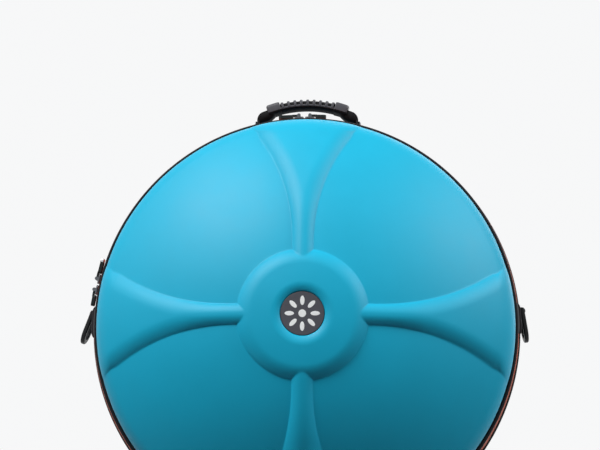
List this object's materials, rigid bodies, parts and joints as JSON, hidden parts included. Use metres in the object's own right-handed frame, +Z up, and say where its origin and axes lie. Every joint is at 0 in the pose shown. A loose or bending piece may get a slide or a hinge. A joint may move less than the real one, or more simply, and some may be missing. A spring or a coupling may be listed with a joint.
{
  "type": "instrument carrying case",
  "caption": "Round lens-shaped zip carrying case with moulded foam shells, flared ribs, a ribbed top handle, side D-rings and backpack straps.",
  "frame": {"origin": "on the floor under the middle of the case as it stands upright on its feet", "axes": "+Z up, the front dome faces -Y, +X to the right seen from the front"},
  "size_m": [0.6594, 0.325, 0.6616],
  "materials": {
    "shell_cloth": "woven polyester laminated on moulded foam, soft sheen",
    "foam_lining": "brushed lining over soft foam",
    "binding": "woven edge binding, stitched",
    "zip_tape": "woven tape, matt",
    "zip_coil": "moulded coil teeth",
    "webbing": "woven webbing",
    "padding": "mesh over soft padding",
    "slider_metal": "nickel plated, satin",
    "pull_plastic": "moulded, fine texture",
    "grip_rubber": "ribbed, satin",
    "hard_plastic": "moulded, satin",
    "rivet_steel": "satin",
    "foot_rubber": "matt",
    "badge_plastic": "satin, printed motif"
  },
  "bodies": {
    "back_half": {"back_shell": "shell_cloth", "back_binding": "binding", "back_zip_tape": "zip_tape", "back_zip_coil": "zip_coil", "back_hinge_tape": "binding", "back_foam_pads": "foam_lining", "back_foot_left": "foot_rubber", "back_foot_right": "foot_rubber", "handle_lug_left": "hard_plastic", "handle_lug_right": "hard_plastic", "handle_rivets": "rivet_steel", "side_anchor_left": "hard_plastic", "side_anchor_right": "hard_plastic", "harness_yoke": "webbing", "shoulder_pad_left": "padding", "shoulder_pad_right": "padding", "strap_webbing_left": "webbing", "strap_webbing_right": "webbing", "ladder_lock_left": "hard_plastic", "ladder_lock_right": "hard_plastic", "strap_tab_left": "webbing", "strap_tab_right": "webbing"},
    "lid": {"front_shell": "shell_cloth", "front_binding": "binding", "front_zip_tape": "zip_tape", "front_zip_coil": "zip_coil", "front_hinge_tape": "binding", "front_foam_pads": "foam_lining", "front_foot_left": "foot_rubber", "front_foot_right": "foot_rubber", "badge": "badge_plastic"},
    "handle": {"handle_grip": "grip_rubber", "handle_strap": "webbing"},
    "ring_left": {"d_ring_left": "hard_plastic"},
    "ring_right": {"d_ring_right": "hard_plastic"},
    "slider_top_left": {"slider_top_left": "slider_metal"},
    "pull_top_left": {"pull_top_left": "pull_plastic"},
    "slider_top_right": {"slider_top_right": "slider_metal"},
    "pull_top_right": {"pull_top_right": "pull_plastic"},
    "slider_side_upper": {"slider_side_upper": "slider_metal"},
    "pull_side_upper": {"pull_side_upper": "pull_plastic"},
    "slider_side_lower": {"slider_side_lower": "slider_metal"},
    "pull_side_lower": {"pull_side_lower": "pull_plastic"}
  },
  "joints": [
    {"name": "lid_hinge", "type": "hinge", "parent": "back_half", "child": "lid", "pos_m": [0, 0, 0.0092], "axis": [1, 0, 0], "range_deg": [0, 120]},
    {"name": "handle_swing", "type": "hinge", "parent": "back_half", "child": "handle", "pos_m": [0, 0.034, 0.6235], "axis": [1, 0, 0], "range_deg": [-55, 20]},
    {"name": "ring_left_swing", "type": "hinge", "parent": "back_half", "child": "ring_left", "pos_m": [-0.3155, 0.043, 0.3367], "axis": [0, 1, 0], "range_deg": [0, 110]},
    {"name": "ring_right_swing", "type": "hinge", "parent": "back_half", "child": "ring_right", "pos_m": [0.3155, 0.043, 0.3432], "axis": [0, -1, 0], "range_deg": [0, 110]},
    {"name": "top_left_travel", "type": "hinge", "parent": "back_half", "child": "slider_top_left", "pos_m": [0, 0, 0.316], "axis": [0, -1, 0], "range_deg": [0, 63]},
    {"name": "top_left_pull_flip", "type": "hinge", "parent": "slider_top_left", "child": "pull_top_left", "pos_m": [-0.01202, 0, 0.62902], "axis": [0, 1, 0], "range_deg": [0, 85]},
    {"name": "top_right_travel", "type": "hinge", "parent": "back_half", "child": "slider_top_right", "pos_m": [0, 0, 0.316], "axis": [0, 1, 0], "range_deg": [0, 160]},
    {"name": "top_right_pull_flip", "type": "hinge", "parent": "slider_top_right", "child": "pull_top_right", "pos_m": [0.00437, 0, 0.62922], "axis": [0, -1, 0], "range_deg": [0, 85]},
    {"name": "side_upper_travel", "type": "hinge", "parent": "back_half", "child": "slider_side_upper", "pos_m": [0, 0, 0.316], "axis": [0, 1, 0], "range_deg": [0, 62]},
    {"name": "side_upper_pull_flip", "type": "hinge", "parent": "slider_side_upper", "child": "pull_side_upper", "pos_m": [-0.30571, 0, 0.38433], "axis": [0, -1, 0], "range_deg": [0, 85]},
    {"name": "side_lower_travel", "type": "hinge", "parent": "back_half", "child": "slider_side_lower", "pos_m": [0, 0, 0.316], "axis": [0, -1, 0], "range_deg": [0, 82]},
    {"name": "side_lower_pull_flip", "type": "hinge", "parent": "slider_side_lower", "child": "pull_side_lower", "pos_m": [-0.30886, 0, 0.36824], "axis": [0, 1, 0], "range_deg": [0, 85]}
  ]
}
